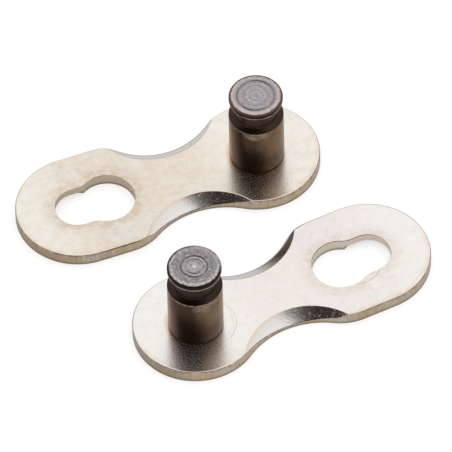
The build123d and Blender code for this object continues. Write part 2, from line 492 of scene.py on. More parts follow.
# rings that a chain's inner link has worn by the pin: middle, radius, line width and strength
WITNESS_RINGS = (((0.65, -0.35), 1.95, 0.055, 1.0), ((0.5, -0.15), 1.93, 0.05, 0.5))
RING_WANDER, RINGS_START = 0.06, (0.8, 1.7)
NICKEL_ROUGHNESS, GRAIN_ROUGHNESS, WALL_ROUGHNESS, BEVEL_POLISH = 0.2, 0.1, 0.2, 0.09
# places between which a mark comes in: along the plate, across it, and in height on its edges
HANDLED_START, HANDLED_END = (1.5, 5.0), (16.5, 11.5)
# where the painted brown reflection on one bevel comes in, along the plate and across it
BEVEL_REFLECTION_ALONG, BEVEL_REFLECTION_ACROSS = (5.2, 7.7), (0.5, 1.5)
NEAR_START = (-1.5, 1.5)
SPOTS_START, EDGE_FOOT_SHADE_START = (0.5, 0.8), (0.32, 0.05)
# the same by distance from the slot, the pin, the outline, a bevel's crest or the relief's rim
SLOT_STAIN_START, SLOT_WALL_START = (1.1, 0.0), (0.3, 0.1)
PIN_STAIN_START, STAINED_SIDE_START = (0.42, 0.0), (-0.8, 1.6)
EDGE_STAIN_START, BEVEL_FOOT_SHADE_START, FAR_RIM_REFLECTION_START = (0.5, 0.1), (0.07, 0.03), (0.16, 0.11)
CREST_START, FOOT_START = (-0.3, -0.05), (-0.4, -0.65)
RELIEF_RIM_START = (0.05, 0.01)


def from_circle(nodes, plan, middle, radius):
    """How far outside a circle a point of the plan lies."""
    return nodes.minus(nodes.vector("DISTANCE", plan, (*middle, 0)), radius)


def plate_places(nodes, given):
    """What the plate's colours go by: places in millimetres, and masks from 0 to 1."""
    # facing is 1 on the flat faces, about 0.8 on the bevels and 0 on the upright edges
    at = SimpleNamespace(facing=given["Facing"], relief=given["Relief"])
    place = given["Place"]
    at.x, at.y, at.z = nodes.split(place)
    at.plan = nodes.join(at.x, at.y)
    at.on_wall = nodes.fade(nodes.reckon("ABSOLUTE", at.facing), 0.45, 0.15)
    at.on_bevel = nodes.times(nodes.fade(at.facing, 0.96, 0.93), nodes.fade(at.facing, 0.55, 0.7))
    at.near = nodes.fade(nodes.times(at.y, given["Near Side"]), *NEAR_START)
    at.from_pin = from_circle(nodes, at.plan, (0, 0), PIN_BODY_RADIUS)
    at.from_slot = nodes.reckon(
        "MINIMUM", from_circle(nodes, at.plan, (PITCH, 0), SEAT_RADIUS),
        from_circle(nodes, at.plan, (ENTRY_X, 0), ENTRY_RADIUS))
    # the outline keeps the end radius off the middle line, and runs round both waist arcs
    on_middle = nodes.add("ShaderNodeClamp", Value=at.x, Min=0.0, Max=SLOT_END_X).outputs[0]
    off_middle = nodes.vector("DISTANCE", at.plan, nodes.join(on_middle, 0.0))
    one_flank = nodes.join(at.x, nodes.reckon("ABSOLUTE", at.y))
    at.from_edge = nodes.reckon(
        "MINIMUM", nodes.minus(END_RADIUS, off_middle),
        from_circle(nodes, one_flank, (WAIST_X, WAIST_Y), WAIST_RADIUS))
    bevel_axis = (BEVEL_AXIS_X, BEVEL_AXIS_Y)
    at.from_crest = from_circle(nodes, one_flank, bevel_axis, BEVEL_CREST_RADIUS)
    # large soft blotches, and smaller smudges that run slantwise
    at.blotches = nodes.noise(place, 0.45, 3.0)
    slanted = nodes.add("ShaderNodeMapping", Vector=place, Rotation=(0, 0, radians(SMUDGE_SLANT)),
                        Scale=SMUDGE_SQUEEZE).outputs[0]
    at.smudges = nodes.noise(slanted, 1.3, 6.0, 0.75)
    return at


def face_colour(nodes, at, given):
    """Nickel warmed by handling over the waist, stained round slot, pin and outline, and with
    painted shade along the relief's rim.
    """
    tones = {tone: given[tone] for tone in ("Plain", "Warm", "Cool")}
    colour = nodes.effect(MOTTLING, Place=given["Place"], Patch=PLATE_PATCH,
                          Strength=PLATE_MOTTLING, **tones)["Colour"]
    handled = nodes.times(nodes.fade(at.x, *HANDLED_START), nodes.fade(at.x, *HANDLED_END),
                          nodes.fade(at.smudges, 0.3, 0.65, 0.35, 1.0))
    warmer = nodes.fade(at.blotches, 0.28, 0.68)
    worn = nodes.tinted(warmer, given["Worn Warm"], given["Worn Grey"])
    colour = nodes.tinted(handled, worn, colour)
    colour = nodes.tinted(nodes.fade(at.smudges, 0.56, 0.75, 0.0, 0.35), SMUDGE, colour)
    round_slot = nodes.times(
        nodes.fade(at.from_slot, *SLOT_STAIN_START, 0.0, given["Slot Stain"]),
        nodes.fade(at.smudges, 0.35, 0.6, 0.2, 1.0))
    colour = nodes.tinted(round_slot, SLOT_TAN, colour)
    along_edge = nodes.times(nodes.fade(at.from_edge, *EDGE_STAIN_START, 0.0, 0.4),
                             nodes.fade(at.smudges, 0.35, 0.6, 0.1, 1.0),
                             nodes.fade(at.near, 0.0, 1.0, 0.15, 1.0))
    colour = nodes.tinted(along_edge, EDGE_TAN, colour)
    # painted shade along the crease at the dished relief's rim, on the front plate only
    from_rim = from_circle(nodes, at.plan, (RELIEF_X, RELIEF_Y), RELIEF_RADIUS)
    off_rim = nodes.reckon("ABSOLUTE", from_rim)
    relief_rim_shade = nodes.times(nodes.fade(off_rim, *RELIEF_RIM_START), given["Ring Shade"])
    colour = nodes.tinted(relief_rim_shade, RELIEF_RIM_SHADE, colour)
    towards_stain = nodes.vector("DOT_PRODUCT", at.plan, given["Stained Side"])
    round_pin = nodes.times(nodes.fade(at.from_pin, *PIN_STAIN_START, 0.0, 0.6),
                            nodes.fade(towards_stain, *STAINED_SIDE_START, 0.15, 1.0))
    colour = nodes.tinted(round_pin, PIN_TAN, colour)
    return nodes.tinted(witness_rings(nodes, at, given["Ring Shade"]), WITNESS_GREY, colour)


def witness_rings(nodes, at, ring_shade):
    """Faint uneven rings where a chain's inner link has turned against the plate."""
    wander = nodes.fade(at.smudges, 0.3, 0.7, -RING_WANDER, RING_WANDER)
    rings = 0.0
    for middle, radius, width, strength in WITNESS_RINGS:
        off_line = nodes.plus(from_circle(nodes, at.plan, middle, radius), wander)
        line = nodes.fade(nodes.reckon("ABSOLUTE", off_line), width, 0.0, 0.0, strength)
        rings = nodes.reckon("MAXIMUM", rings, line)
    return nodes.times(rings, nodes.fade(at.x, *RINGS_START, 0.0, ring_shade),
                       nodes.fade(at.relief, 0.9, 1.35, 0.35, 1.0))


def with_bevels(nodes, at, given, colour):
    """Bright pressed bevels, and on one of them a painted brown reflection by the slot."""
    bevel = nodes.tinted(nodes.fade(at.from_crest, *CREST_START), BEVEL_CREST, BEVEL_MIDDLE)
    bevel = nodes.tinted(nodes.fade(at.from_crest, *FOOT_START), BEVEL_FOOT, bevel)
    colour = nodes.tinted(at.on_bevel, bevel, colour)
    # painted brown reflection on one bevel, by the slot
    painted_bevel_reflection = nodes.times(nodes.fade(at.x, *BEVEL_REFLECTION_ALONG),
                         nodes.fade(at.y, *BEVEL_REFLECTION_ACROSS, 0.0, given["Bevel Stain"]),
                         nodes.fade(at.facing, 0.985, 0.95))
    return nodes.tinted(painted_bevel_reflection, nodes.tinted(given["Speckle"], BEVEL_REFLECTION_SPECK, BEVEL_REFLECTION_BROWN), colour)


def blanked_edge(nodes, at, given):
    """Colour of the blanked edges: dull and streaked up and down, with painted shade towards one
    end and at the foot.
    """
    upright = nodes.add("ShaderNodeMapping", Vector=given["Place"], Scale=STREAK_SQUEEZE)
    streaks = nodes.noise(upright.outputs[0], 1.0, 3.0)
    spots = nodes.times(nodes.fade(at.relief, 1.3, 1.6),
                        nodes.fade(at.z, *SPOTS_START, 0.0, 0.55))
    # painted shade on the walls towards one end of the plate
    painted_end_shade = nodes.fade(at.x, given["Dull From"], given["Dull To"], 0.0, 0.45)
    edge = nodes.tinted(nodes.fade(at.blotches, 0.4, 0.65), EDGE_GREY, EDGE_WARM)
    edge = nodes.tinted(nodes.fade(streaks, 0.45, 0.75, 0.0, 0.3), DARK_STREAK, edge)
    edge = nodes.tinted(nodes.fade(streaks, 0.45, 0.3, 0.0, 0.3), PALE_STREAK, edge)
    edge = nodes.tinted(spots, EDGE_SPOT, edge)
    edge = nodes.tinted(nodes.fade(at.from_slot, *SLOT_WALL_START), given["Slot Wall"], edge)
    edge = nodes.tinted(painted_end_shade, SHADED_EDGE_END, edge)
    # painted shade at the foot of the walls, where they meet the floor
    return nodes.tinted(nodes.fade(at.z, *EDGE_FOOT_SHADE_START, 0.0, 0.6), EDGE_FOOT_SHADE, edge)


def with_grime_and_painted_light(nodes, at, colour):
    """Grime with painted shade in the rounded edge, painted shade at the near bevels' feet, and a
    painted grey reflection on the far rim.
    """
    # grime with painted shade in the rounded edge
    grime_and_shade = nodes.times(nodes.fade(at.facing, 0.2, 0.34), nodes.fade(at.facing, 0.7, 0.6),
                        nodes.fade(at.relief, 0.8, 1.4, 0.3, 0.75),
                        nodes.fade(at.from_slot, 0.1, 0.3, 0.25, 1.0))
    colour = nodes.tinted(grime_and_shade, EDGE_GRIME_AND_SHADE, colour)
    # painted shade at the near bevels' feet
    bevel_foot_shade = nodes.times(nodes.fade(at.from_edge, *BEVEL_FOOT_SHADE_START), at.on_bevel, at.near,
                             nodes.fade(at.relief, 0.8, 1.4, 0.35, 0.9))
    colour = nodes.tinted(bevel_foot_shade, BEVEL_FOOT_SHADE, colour)
    # painted grey reflection on the far rim
    far_rim_reflection = nodes.times(nodes.fade(at.from_edge, *FAR_RIM_REFLECTION_START),
                          nodes.fade(at.near, 1.0, 0.0, 0.0, 0.8),
                          nodes.fade(at.facing, 0.985, 0.9), nodes.fade(at.facing, 0.45, 0.55))
    return nodes.tinted(far_rim_reflection, FAR_RIM_REFLECTION, colour)


def worn_nickel_and_painted_light():
    """The whole plate's colour and roughness, from its faces and bevels to its edges, with
    painted shade and reflections.
    """
    nodes, given, made = effect_group(
        "worn_nickel_and_painted_light",
        {VECTOR: ["Place", "Stained Side"],
         NUMBER: ["Facing", "Relief", "Speckle", "Slot Stain", "Ring Shade", "Bevel Stain",
                  "Dull From", "Dull To", "Near Side"],
         COLOUR: ["Plain", "Warm", "Cool", "Worn Warm", "Worn Grey", "Slot Wall"]},
        {COLOUR: ["Colour"], NUMBER: ["Roughness", "On Bevel"]})
    at = plate_places(nodes, given)
    colour = with_bevels(nodes, at, given, face_colour(nodes, at, given))
    colour = nodes.tinted(at.on_wall, blanked_edge(nodes, at, given), colour)
    nodes.feed(made["Colour"], with_grime_and_painted_light(nodes, at, colour))
    roughness = nodes.plus(NICKEL_ROUGHNESS, nodes.times(given["Speckle"], GRAIN_ROUGHNESS))
    roughness = nodes.plus(roughness, nodes.times(at.on_wall, WALL_ROUGHNESS))
    roughness = nodes.minus(roughness, nodes.times(at.on_bevel, BEVEL_POLISH))
    nodes.feed(made["Roughness"], roughness)
    nodes.feed(made["On Bevel"], at.on_bevel)
    return nodes.tree


SCRATCH_DEPTH = 0.03
SCRATCHES_SHOW, NICKS_SHOW = 0.3, 0.18


def punch_scratches():
    """Scratches and nicks that the forming punch has left round the bevels."""
    nodes, given, made = effect_group(
        "punch_scratches", {VECTOR: ["Place", "Normal"], NUMBER: ["On Bevel"]},
        {VECTOR: ["Normal"]})
    x, y = nodes.split(given["Place"])[:2]
    across = nodes.minus(nodes.reckon("ABSOLUTE", y), BEVEL_AXIS_Y)
    ahead = nodes.minus(x, BEVEL_AXIS_X)
    from_axis = nodes.vector("DISTANCE", nodes.join(across, ahead), (0, 0, 0))
    round_arc = nodes.times(nodes.reckon("ARCTAN2", across, ahead), BEVEL_CREST_RADIUS)
    slant = nodes.plus(nodes.times(from_axis, 4.5), nodes.times(round_arc, 2.0))
    drawn = nodes.join(round_arc, slant, y)
    scratches = nodes.noise(drawn, 1.6, 5.0, 0.7)
    nicks = nodes.fade(nodes.noise(drawn, 2.6, 4.0, 0.8), 0.6, 0.7)
    normal = given["Normal"]
    for marks, show in ((scratches, SCRATCHES_SHOW), (nicks, NICKS_SHOW)):
        strength = nodes.times(given["On Bevel"], show)
        normal = nodes.bump(marks, SCRATCH_DEPTH, strength, Normal=normal)
    nodes.feed(made["Normal"], normal)
    return nodes.tree


WORN_NICKEL_AND_PAINTED_LIGHT, PUNCH_SCRATCHES = worn_nickel_and_painted_light(), punch_scratches()

# The front plate is the cleaner one, but one of its bevels has a painted brown reflection. Sides
# are ways in a half's own frame, so the rear half, which lies turned end for end, has them the
# other way.
PLATE_WEAR_AND_SHADING = {
    "front": {
        "Plain": rgb(244, 241, 237), "Warm": rgb(241, 233, 225), "Cool": rgb(235, 236, 232),
        "Worn Warm": rgb(239, 232, 223), "Worn Grey": rgb(235, 229, 227),
        "Slot Wall": rgb(235, 222, 206), "Slot Stain": 0.3, "Ring Shade": 0.5,
        "Bevel Stain": 0.95, "Stained Side": (-0.905, 0.426, 0), "Near Side": -1.0,
        "Dull From": -1.5, "Dull To": -3.5},
    "rear": {
        "Plain": rgb(242, 236, 228), "Warm": rgb(235, 222, 206), "Cool": rgb(230, 229, 220),
        "Worn Warm": rgb(227, 214, 196), "Worn Grey": rgb(224, 216, 206),
        "Slot Wall": rgb(209, 192, 169), "Slot Stain": 0.5, "Ring Shade": 0.0,
        "Bevel Stain": 0.0, "Stained Side": (0.944, -0.33, 0), "Near Side": 1.0,
        "Dull From": 13.0, "Dull To": 16.0},
}
PLATE_GRAIN, GRAIN_DEPTH = 0.09, 0.01
GRAIN_SHOWS = {"front": 0.13, "rear": 0.08}


def metal(name):
    """A metal's material, its nodes and its shader, with the place on the half in millimetres."""
    material = bpy.data.materials.new(name)
    material.use_nodes = True
    nodes = Nodes(material.node_tree)
    shader = nodes.tree.nodes["Principled BSDF"]
    shader.inputs["Metallic"].default_value = 1.0
    place = nodes.add("ShaderNodeVectorMath", {"operation": "SCALE"}, Scale=1 / MM,
                      Vector=nodes.add("ShaderNodeTexCoord").outputs["Object"]).outputs[0]
    return material, nodes, shader, place


def satin_nickel(half):
    """The finish of one half's plate."""
    material, nodes, shader, place = metal(f"{half}_satin_nickel")
    facing = nodes.split(nodes.add("ShaderNodeNewGeometry").outputs["Normal"])["Z"]
    grain = nodes.effect(GRAIN, Place=place, Grain=PLATE_GRAIN)
    nickel = nodes.effect(WORN_NICKEL_AND_PAINTED_LIGHT, Place=place, Facing=facing, Relief=grain["Relief"],
                          Speckle=grain["Speckle"], **PLATE_WEAR_AND_SHADING[half])
    normal = nodes.bump(grain["Relief"], GRAIN_DEPTH, GRAIN_SHOWS[half])
    marks = nodes.effect(PUNCH_SCRATCHES, Place=place, Normal=normal, On_Bevel=nickel["On Bevel"])
    nodes.feed(shader.inputs["Base Color"], nickel["Colour"])
    nodes.feed(shader.inputs["Roughness"], nickel["Roughness"])
    nodes.feed(shader.inputs["Normal"], marks["Normal"])
    return material


SMOOTH_UNDER = 28           # degrees between facets that still shade as one surface
mounts = {m["name"]: Vector(m["pos_m"]) for m in frame["record"]["mounts"]}


def lying_place(half):
    """From a half's own frame to the place where it lies, in metres."""
    pin, middle = mounts[f"{half}_bearing"], mounts[f"{half}_outer_face"]
    turn = atan2(middle.y - pin.y, middle.x - pin.x)
    return Matrix.Translation((pin.x, pin.y, 0)) @ Matrix.Rotation(turn, 4, "Z")


def lay_down(half, part, points, faces, material):
    """Makes a piece from points in its half's frame, and lays it where its CAD node lies."""
    name = f"{half}_{part}"
    mesh = bpy.data.meshes.new(name)
    mesh.from_pydata([[x * MM for x in p] for p in points], [], faces)
    mesh.validate()
    mesh.shade_smooth()
    mesh.set_sharp_from_angle(angle=radians(SMOOTH_UNDER))
    mesh.materials.append(material)
    piece = bpy.data.objects.new(f"{name}_finished", mesh)
    bpy.context.scene.collection.objects.link(piece)
    piece.matrix_world = lying_place(half)
    smoothing = piece.modifiers.new("even_facets", "WEIGHTED_NORMAL")
    smoothing.keep_sharp = True
    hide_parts(name)
    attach(piece, "root")
    return piece


plate_points, plate_faces = plate_mesh()
for half in PLATE_WEAR_AND_SHADING:
    plate = lay_down(half, "plate", plate_points, plate_faces, satin_nickel(half))

# ---- Pins -------------------------------------------------------------------------------
# Each pin is turned from steel bar, hardened and blackened. Its tenon goes through the plate
# and is riveted into the countersink, and its body seats on the inner face. The narrow neck
# under the head locks into the other half's seat, and wear has brightened body and head.
BODY_TOP = 5.0
BODY_EDGE_BREAK = 0.07
NECK_RADIUS = 1.45
NECK_BOTTOM = 5.24
HEAD_RADIUS = 1.8
HEAD_BOTTOM, HEAD_TOP = 6.5, 6.9
HEAD_ROUNDING = 0.13
HEAD_EDGE_BREAK = 0.04
RING_HALF_WIDTH, RING_DEPTH = 0.05, 0.04
RIVET_DIMPLE_RADIUS, RIVET_DIMPLE_DEPTH = 1.05, 0.1
HEAD_RINGS = {"front": (0.6, 0.87), "rear": (1.25,)}     # radii of the grooves in the head
# how far each corner of the turned profile is rounded
DIMPLE_ROUNDING, RIVET_ROUNDING = 0.3, 0.02
BODY_FOOT_ROUNDING, BODY_TOP_ROUNDING = 0.04, 0.05
NECK_FOOT_ROUNDING, NECK_TOP_ROUNDING = 0.08, 0.05
GROOVE_LIP_ROUNDING, GROOVE_ROUNDING = 0.03, 0.02
PIN_SIDES = 144
ROUNDING_STEP = 15          # degrees between the points of a rounded corner


def softened(corners):
    """A turned profile with each corner rounded by the radius that stands third in it."""
    flank = []
    for i, (r, z, rounding) in enumerate(corners):
        if not rounding:
            flank.append((r, z))
            continue
        here = Vector((r, z))
        back = (Vector(corners[i - 1][:2]) - here).normalized()
        on = (Vector(corners[i + 1][:2]) - here).normalized()
        half_angle = back.angle(on) / 2
        centre = here + (back + on).normalized() * rounding / sin(half_angle)
        start = here + back * rounding / tan(half_angle) - centre
        end = here + on * rounding / tan(half_angle) - centre
        sweep = start.angle_signed(end)
        steps = max(2, ceil(abs(degrees(sweep)) / ROUNDING_STEP))
        for k in range(steps + 1):
            spoke = start.copy()
            spoke.rotate(Matrix.Rotation(-sweep * k / steps, 2))
            flank.append(tuple(centre + spoke))
    return flank


def turned(flank):
    """The solid that a profile from axis to axis sweeps round the pin's axis."""
    angles = [2 * pi * k / PIN_SIDES for k in range(PIN_SIDES)]
    points = [(0, 0, flank[0][1])]
    for r, z in flank[1:-1]:
        points += [(r * cos(a), r * sin(a), z) for a in angles]
    points.append((0, 0, flank[-1][1]))
    last = len(points) - 1
    faces = []
    for k in range(PIN_SIDES):
        on = (k + 1) % PIN_SIDES
        faces.append((0, 1 + on, 1 + k))
        for row in range(len(flank) - 3):
            a, b = 1 + row * PIN_SIDES, 1 + (row + 1) * PIN_SIDES
            faces.append((a + k, a + on, b + on, b + k))
        faces.append((last - PIN_SIDES + k, last - PIN_SIDES + on, last))
    return points, faces


def pin_flank(head_rings):
    """The pin's profile from the riveted end's middle to the head's, with grooves in the head."""
    corners = [
        (0, RIVET_DIMPLE_DEPTH, 0),
        (RIVET_DIMPLE_RADIUS, 0, DIMPLE_ROUNDING),
        (TENON_RADIUS + RIVET_FLARE, 0, RIVET_ROUNDING),
        (TENON_RADIUS, RIVET_FLARE, 0),
        (TENON_RADIUS, PLATE_THICKNESS, 0),
        (PIN_BODY_RADIUS - BODY_EDGE_BREAK, PLATE_THICKNESS, 0),
        (PIN_BODY_RADIUS, PLATE_THICKNESS + BODY_EDGE_BREAK, BODY_FOOT_ROUNDING),
        (PIN_BODY_RADIUS, BODY_TOP, BODY_TOP_ROUNDING),
        (NECK_RADIUS, NECK_BOTTOM, NECK_FOOT_ROUNDING),
        (NECK_RADIUS, HEAD_BOTTOM, NECK_TOP_ROUNDING),
        (HEAD_RADIUS - HEAD_EDGE_BREAK, HEAD_BOTTOM, 0),
        (HEAD_RADIUS, HEAD_BOTTOM + HEAD_EDGE_BREAK, 0),
        (HEAD_RADIUS, HEAD_TOP, HEAD_ROUNDING),
    ]
    for radius in sorted(head_rings, reverse=True):
        corners += [
            (radius + RING_HALF_WIDTH, HEAD_TOP, GROOVE_LIP_ROUNDING),
            (radius, HEAD_TOP - RING_DEPTH, GROOVE_ROUNDING),
            (radius - RING_HALF_WIDTH, HEAD_TOP, GROOVE_LIP_ROUNDING),
        ]
    corners.append((0, HEAD_TOP, 0))
    return softened(corners)


STEEL = {"Plain": rgb(122, 103, 83), "Warm": rgb(124, 88, 62), "Cool": rgb(98, 87, 72)}
PIN_PATCH, PIN_MOTTLING = 1.1, 0.8
DARKENED_FROM, DARKENED_TO = 3.4, 1.8             # heights between which it darkens, from heat browning and painted shade
RUB_SQUEEZE = 3.0                               # the rubbed patch, with its painted highlight, is longer round than up
# places towards the lit side between which soot, painted shade, painted highlights and tones come
# in
SOOT_AND_SHADE_START, SOOTY_BROWN_SHADE_START, SIDE_EDGE_HIGHLIGHT_START = (0.5, -0.3), (-0.9, -1.5), (-1.55, -1.85)
SOOT_AND_SHADE, SOOTY_BROWN_SHADE, HEAT_DARK_AND_SHADE, BODY_FOOT_SHADE = (
    rgb(64, 49, 38), rgb(78, 52, 35), rgb(58, 38, 29), rgb(34, 24, 19))
RUBBED_AND_HIGHLIGHT, SIDE_EDGE_HIGHLIGHT, WORN_TOP_EDGE = rgb(196, 174, 152), rgb(170, 136, 104), rgb(196, 180, 164)
OXIDE_SPECK, RUST, SHOULDER_OXIDE_AND_SHADE = rgb(84, 66, 54), rgb(98, 56, 38), rgb(48, 40, 38)
HEAD_SIDE_BLACK, WORN_HEAD_EDGE = rgb(48, 33, 28), rgb(222, 206, 194)


def blackened_and_shaded_side():
    """Body: soot and painted shade on one side, rubbing and painted highlights on the other; neck
    and head under black oxide.
    """
    nodes, given, made = effect_group(
        "blackened_and_shaded_side",
        {VECTOR: ["Place", "Bright Side"],
         NUMBER: ["Relief", "Speckle", "Soot", "Rub Side", "Rub Height", "Rub"],
         COLOUR: ["Oxide"]},
        {COLOUR: ["Colour"]})
    place, relief = given["Place"], given["Relief"]
    x, y, height = nodes.split(place)
    radius = nodes.vector("DISTANCE", nodes.join(x, y), (0, 0, 0))
    towards_lit = nodes.plus(nodes.vector("DOT_PRODUCT", place, given["Bright Side"]),
                        nodes.fade(relief, 0.6, 1.8, -0.15, 0.15))
    colour = nodes.effect(MOTTLING, Place=place, Patch=PIN_PATCH, Strength=PIN_MOTTLING,
                          **STEEL)["Colour"]
    # soot with painted shade on the side away from the light
    shaded_soot = nodes.fade(towards_lit, *SOOT_AND_SHADE_START, 0.0, given["Soot"])
    colour = nodes.tinted(shaded_soot, SOOT_AND_SHADE, colour)
    colour = nodes.tinted(nodes.fade(towards_lit, *SOOTY_BROWN_SHADE_START, 0.0, 0.9), SOOTY_BROWN_SHADE, colour)
    # darker lower down: heat browning, with painted shade
    browned_and_shaded = nodes.fade(height, DARKENED_FROM, DARKENED_TO, 0.0, 0.75)
    colour = nodes.tinted(browned_and_shaded, HEAT_DARK_AND_SHADE, colour)
    # an uneven patch rubbed bright, with a painted highlight over it
    aside = nodes.reckon("POWER", nodes.minus(towards_lit, given["Rub Side"]), 2.0)
    above = nodes.reckon("POWER", nodes.minus(height, given["Rub Height"]), 2.0)
    uneven = nodes.fade(nodes.noise(place, 1.6, 4.0), 0.25, 0.75, -0.1, 0.8)
    off_rub = nodes.plus(nodes.plus(aside, nodes.times(above, RUB_SQUEEZE)), uneven)
    colour = nodes.tinted(nodes.fade(off_rub, 1.2, 0.0, 0.0, given["Rub"]), RUBBED_AND_HIGHLIGHT, colour)
    # painted highlight along the body's edge on the shaded side
    colour = nodes.tinted(nodes.fade(towards_lit, *SIDE_EDGE_HIGHLIGHT_START, 0.0, 0.6), SIDE_EDGE_HIGHLIGHT, colour)
    # painted shade at the body's foot, where it meets the plate
    foot_shade = nodes.fade(height, PLATE_THICKNESS + 0.25, PLATE_THICKNESS + 0.05, 0.0, 0.8)
    colour = nodes.tinted(foot_shade, BODY_FOOT_SHADE, colour)
    top_edge = nodes.times(nodes.fade(height, BODY_TOP - 0.14, BODY_TOP - 0.07),
                           nodes.fade(relief, 1.0, 1.5, 0.1, 0.6))
    colour = nodes.tinted(top_edge, WORN_TOP_EDGE, colour)
    # black oxide from the shoulder up, rusty in places
    above_body = nodes.fade(height, BODY_TOP - 0.03, BODY_TOP + 0.02)
    speckled = nodes.fade(given["Speckle"], 0.3, 0.8, 0.0, 0.5)
    rusty = nodes.fade(nodes.noise(place, 0.9, 3.0), 0.5, 0.65, 0.0, 0.3)
    oxide = nodes.tinted(rusty, RUST, nodes.tinted(speckled, OXIDE_SPECK, given["Oxide"]))
    colour = nodes.tinted(above_body, oxide, colour)
    # painted shade on the shoulder under the head, over its black oxide
    shoulder_shade = nodes.times(
        above_body, nodes.fade(height, NECK_BOTTOM + 0.06, NECK_BOTTOM - 0.02, 0.0, 0.6))
    colour = nodes.tinted(shoulder_shade, SHOULDER_OXIDE_AND_SHADE, colour)
    head_side = nodes.times(nodes.fade(height, HEAD_BOTTOM + 0.1, HEAD_BOTTOM + 0.16),
                            nodes.fade(radius, HEAD_RADIUS - 0.1, HEAD_RADIUS - 0.05))
    colour = nodes.tinted(head_side, HEAD_SIDE_BLACK, colour)
    # worn through along the head's lower edge
    worn_edge = nodes.times(nodes.fade(height, HEAD_BOTTOM + 0.13, HEAD_BOTTOM + 0.07),
                            nodes.fade(height, HEAD_BOTTOM - 0.04, HEAD_BOTTOM - 0.02),
                            nodes.fade(radius, HEAD_RADIUS - 0.06, HEAD_RADIUS - 0.03),
                            nodes.fade(relief, 0.9, 1.5, 0.2, 0.9))
    nodes.feed(made["Colour"], nodes.tinted(worn_edge, WORN_HEAD_EDGE, colour))
    return nodes.tree


DARK_MARK, PALE_MARK = rgb(96, 90, 92), rgb(208, 206, 210)
DARK_BLOTCH, PALE_BLOTCH = rgb(92, 84, 86), rgb(212, 204, 206)
CENTRE_DOT, CROWN_HIGHLIGHT_TONE = rgb(234, 216, 214), rgb(214, 206, 202)
MARK_SPACING, MARK_WANDER = 0.13, 0.25
HIGHLIGHT_BAND_FROM, HIGHLIGHT_BAND_TO = 1.42, 1.56                 # radii over which the painted highlight band comes in
DOT_RADIUS, DOT_CORE_RADIUS = 0.19, 0.07
CROWN_HIGHLIGHT_SIDE = (0.941, 0.339, 0)


def turned_head():
    """Head's face: broken turning marks, blotches, a painted highlight band, and a dark crown
    with a painted highlight on one side.
    """
    nodes, given, made = effect_group(
        "turned_head",
        {VECTOR: ["Place", "Near Side"], NUMBER: ["Centre Dot", "Blotched", "Crown Shine"],
         COLOUR: ["Rings", "Band", "Crown"]},
        {COLOUR: ["Colour"], NUMBER: ["On Face", "Marks"]})
    place = given["Place"]
    x, y, height = nodes.split(place)
    radius = nodes.vector("DISTANCE", nodes.join(x, y), (0, 0, 0))
    near = nodes.vector("DOT_PRODUCT", place, given["Near Side"])
    along = nodes.plus(radius, nodes.times(nodes.noise(place, 1.3, 1.0), MARK_WANDER))
    marks = nodes.add("ShaderNodeTexNoise", {"noise_dimensions": "1D"}, W=along,
                      Scale=1 / MARK_SPACING, Detail=2.0).outputs[0]
    blotches = nodes.noise(place, 4.5, 3.0, 0.7)
    face = nodes.tinted(nodes.fade(marks, 0.5, 0.72, 0.0, 0.6), DARK_MARK, given["Rings"])
    face = nodes.tinted(nodes.fade(marks, 0.5, 0.3, 0.0, 0.5), PALE_MARK, face)
    dark, pale = (nodes.fade(blotches, *span, 0.0, given["Blotched"])
                  for span in ((0.5, 0.68), (0.46, 0.32)))
    face = nodes.tinted(pale, PALE_BLOTCH, nodes.tinted(dark, DARK_BLOTCH, face))
    # the painted highlight band is wider and brighter on the near side
    leaning = nodes.plus(radius, nodes.times(near, 0.06))
    highlight_band = nodes.times(nodes.fade(leaning, HIGHLIGHT_BAND_FROM, HIGHLIGHT_BAND_TO),
                       nodes.fade(blotches, 0.6, 0.4, 0.3, 0.95),
                       nodes.fade(near, -1.6, 1.6, 0.45, 1.0))
    face = nodes.tinted(highlight_band, given["Band"], face)
    dot = nodes.fade(radius, DOT_RADIUS, DOT_CORE_RADIUS, 0.0, given["Centre Dot"])
    face = nodes.tinted(dot, CENTRE_DOT, face)
    # a painted highlight on one side of the crown
    crown_highlight = nodes.fade(nodes.vector("DOT_PRODUCT", place, CROWN_HIGHLIGHT_SIDE), 0.7, 1.7, 0.0,
                       given["Crown Shine"])
    crown_highlight = nodes.times(crown_highlight, nodes.fade(blotches, 0.4, 0.6))
    ragged = nodes.plus(radius, nodes.times(blotches, 0.08))
    on_crown = nodes.fade(ragged, HEAD_RADIUS - 0.14, HEAD_RADIUS - 0.06)
    face = nodes.tinted(on_crown, nodes.tinted(crown_highlight, CROWN_HIGHLIGHT_TONE, given["Crown"]), face)
    on_face = nodes.fade(height, HEAD_TOP - 0.1, HEAD_TOP - 0.06)
    nodes.feed(made["Colour"], face)
    nodes.feed(made["On Face"], on_face)
    nodes.feed(made["Marks"], nodes.times(marks, on_face))
    return nodes.tree


BLACKENED_AND_SHADED_SIDE, TURNED_HEAD = blackened_and_shaded_side(), turned_head()

SIDE_WEAR_AND_SHADING = {
    "front": {"Oxide": rgb(50, 42, 37), "Soot": 0.92, "Bright Side": (0.905, -0.426, 0),
              "Rub": 0.42, "Rub Side": 0.6, "Rub Height": 4.6},
    "rear": {"Oxide": rgb(66, 54, 45), "Soot": 0.8, "Bright Side": (-0.944, 0.33, 0),
             "Rub": 0.6, "Rub Side": 0.1, "Rub Height": 4.7},
}
HEAD_WEAR_AND_HIGHLIGHTS = {
    "front": {"Band": rgb(200, 192, 191), "Crown": rgb(44, 34, 32), "Crown Shine": 0.9,
              "Centre Dot": 0.8, "Blotched": 0.6, "Near Side": (-0.426, -0.905, 0)},
    "rear": {"Band": rgb(206, 190, 186), "Crown": rgb(92, 76, 68), "Crown Shine": 0.0,
             "Centre Dot": 0.0, "Blotched": 0.35, "Near Side": (0.33, 0.944, 0)},
}
